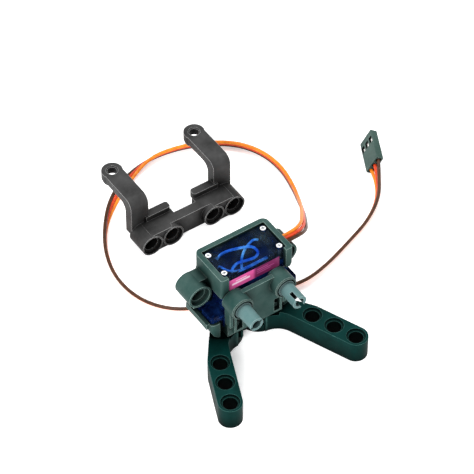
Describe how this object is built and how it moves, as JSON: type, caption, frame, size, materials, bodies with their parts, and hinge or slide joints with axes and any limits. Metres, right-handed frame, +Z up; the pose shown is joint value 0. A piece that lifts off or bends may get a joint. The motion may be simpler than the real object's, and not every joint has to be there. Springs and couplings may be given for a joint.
{
  "type": "robot gripper",
  "caption": "Servo gripper with two geared jaws, side barrels and split connector pins, with a three-wire lead and a loose mounting bracket.",
  "frame": {"origin": "on the floor, midway between the two jaw pivots", "axes": "+Z up along the jaw pivots, -Y where the jaws and the connector pins point, +X to the right seen from behind the jaws' tips looking +Y"},
  "size_m": [0.1111, 0.1116, 0.0343],
  "materials": {
    "housing_plastic": "fine moulded texture, dark green-grey",
    "jaw_plastic": "fine moulded texture, dark green",
    "pin_plastic": "satin moulded, light teal-grey",
    "bracket_plastic": "fine moulded texture, charcoal",
    "servo_plastic": "clear blue tint, polished",
    "label_film": "printed film, magenta",
    "screw_steel": "nickel plated",
    "board_laminate": "solder mask",
    "motor_steel": "drawn can",
    "sensor_plastic": "moulded",
    "inner_wire_jacket": "insulation",
    "gear_nylon": "moulded nylon",
    "axle_steel": "ground",
    "bush_brass": "turned",
    "grommet_rubber": "matt",
    "orange_jacket": "soft insulation",
    "red_jacket": "soft insulation",
    "brown_jacket": "soft insulation",
    "plug_plastic": "moulded",
    "contact_metal": "tin plated"
  },
  "bodies": {
    "housing": {"rear_housing": "housing_plastic", "front_cover": "housing_plastic", "lower_housing": "housing_plastic", "connector_pins": "pin_plastic", "servo_case": "servo_plastic", "servo_bottom_cover": "servo_plastic", "servo_gear_cover": "servo_plastic", "servo_screws": "screw_steel", "servo_label": "label_film", "circuit_board": "board_laminate", "motor": "motor_steel", "position_sensor": "sensor_plastic", "inner_wires": "inner_wire_jacket", "gear_axle": "axle_steel", "output_bush": "bush_brass", "pivot_screw": "screw_steel", "brown_wire": "brown_jacket", "red_wire": "red_jacket", "orange_wire": "orange_jacket", "lead_grommet": "grommet_rubber", "plug_housing": "plug_plastic", "plug_contacts": "contact_metal"},
    "right_jaw": {"right_jaw": "jaw_plastic", "horn_screw": "screw_steel", "output_gear": "gear_nylon"},
    "left_jaw": {"left_jaw": "jaw_plastic"},
    "third_gear": {"third_gear": "gear_nylon"},
    "second_gear": {"second_gear": "gear_nylon"},
    "first_gear": {"first_gear": "gear_nylon"},
    "motor_rotor": {"motor_pinion": "bush_brass"},
    "bracket": {"mounting_bracket": "bracket_plastic"}
  },
  "joints": [
    {"name": "right_jaw_swing", "type": "hinge", "parent": "housing", "child": "right_jaw", "pos_m": [0.007, 0, 0.005], "axis": [0, 0, 1], "range_deg": [-34, 10]},
    {"name": "left_jaw_swing", "type": "hinge", "parent": "housing", "child": "left_jaw", "pos_m": [-0.007, 0, 0.005], "axis": [0, 0, 1], "range_deg": [-10, 34]},
    {"name": "third_gear_spin", "type": "hinge", "parent": "housing", "child": "third_gear", "pos_m": [0.0016, 0, 0.005], "axis": [0, 0, 1], "range_deg": [-35.5, 119.5]},
    {"name": "second_gear_spin", "type": "hinge", "parent": "housing", "child": "second_gear", "pos_m": [0.007, 0, 0.005], "axis": [0, 0, 1], "range_deg": [-417, 123]},
    {"name": "first_gear_spin", "type": "hinge", "parent": "housing", "child": "first_gear", "pos_m": [0.0016, 0, 0.005], "axis": [0, 0, 1], "range_deg": [-429.25, 1458.25]},
    {"name": "motor_spin", "type": "hinge", "parent": "housing", "child": "motor_rotor", "pos_m": [-0.00365, 0, 0.005], "axis": [0, 0, 1], "range_deg": [-4920.41, 1447.53]},
    {"name": "bracket_lift", "type": "slide", "parent": "housing", "child": "bracket", "axis": [0, 0, 1], "range_m": [0, 0.045]}
  ],
  "couplings": [
    {"joint": "left_jaw_swing", "follows": "right_jaw_swing", "ratio": -1},
    {"joint": "third_gear_spin", "follows": "right_jaw_swing", "ratio": -3.5},
    {"joint": "second_gear_spin", "follows": "right_jaw_swing", "ratio": 12.25},
    {"joint": "first_gear_spin", "follows": "right_jaw_swing", "ratio": -42.875},
    {"joint": "motor_spin", "follows": "right_jaw_swing", "ratio": 144.7}
  ]
}
